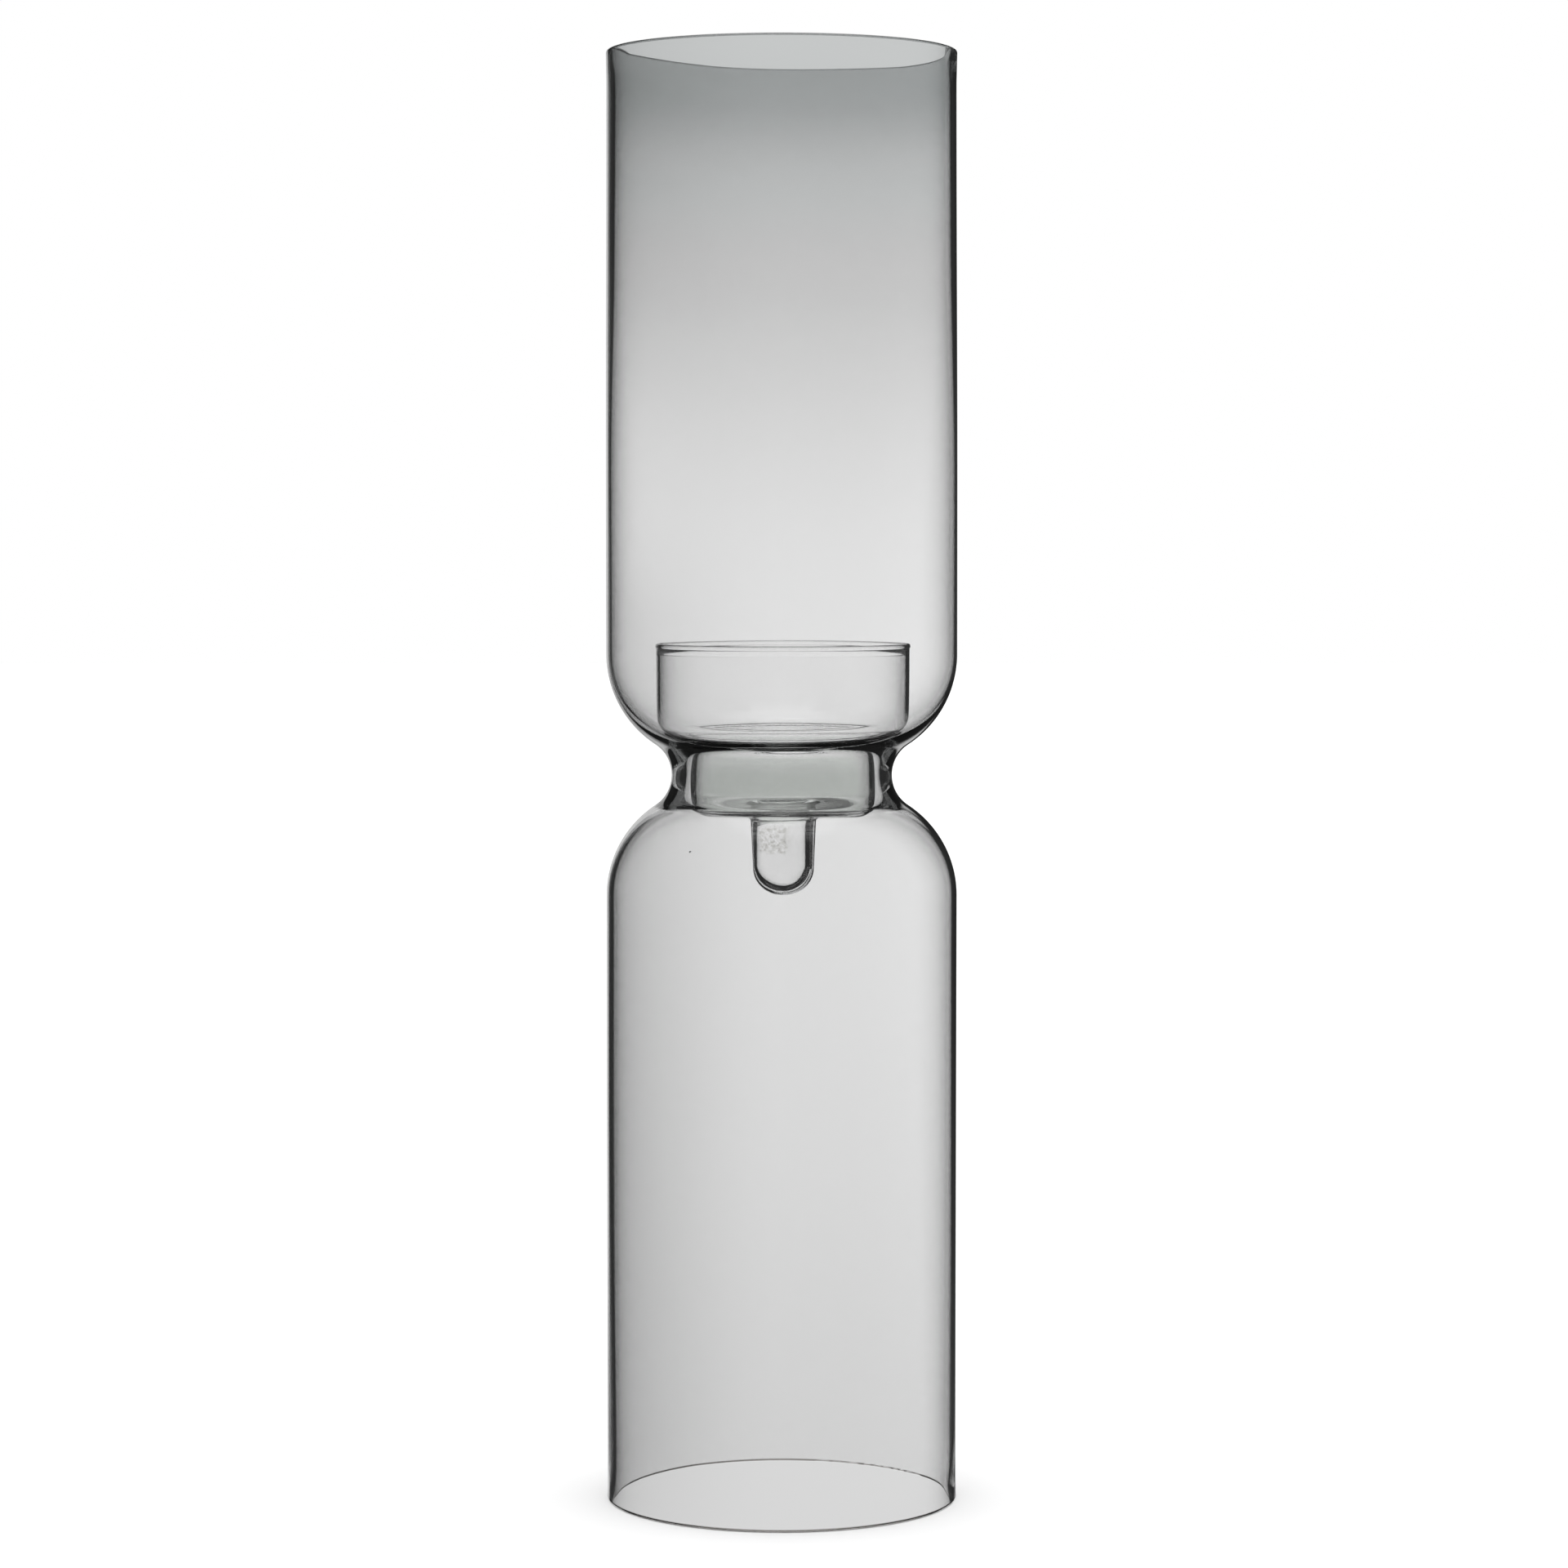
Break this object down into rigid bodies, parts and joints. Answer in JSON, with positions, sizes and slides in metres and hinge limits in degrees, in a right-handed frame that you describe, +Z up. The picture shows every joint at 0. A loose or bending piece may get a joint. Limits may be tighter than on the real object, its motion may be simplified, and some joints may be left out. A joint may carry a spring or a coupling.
{
  "type": "candle lantern",
  "caption": "Tall waisted glass cylinder, open at top and foot, with a lift-out stepped glass candle insert resting in its throat.",
  "frame": {"origin": "centre of the foot, on the surface that the lantern stands on", "axes": "+Z up along the lantern's axis; +X and +Y are any two level directions, because both pieces are bodies of revolution"},
  "size_m": [0.1456, 0.1456, 0.6],
  "materials": {
    "body_glass": "clear smoke-grey, blown, fire-polished",
    "insert_glass": "clear pale smoke-grey, formed, fire-polished"
  },
  "bodies": {
    "lantern": {"glass_body": "body_glass"},
    "insert": {"candle_insert": "insert_glass"}
  },
  "joints": [
    {"name": "insert_lift", "type": "slide", "parent": "lantern", "child": "insert", "axis": [0, 0, 1], "range_m": [0, 0.36]}
  ]
}
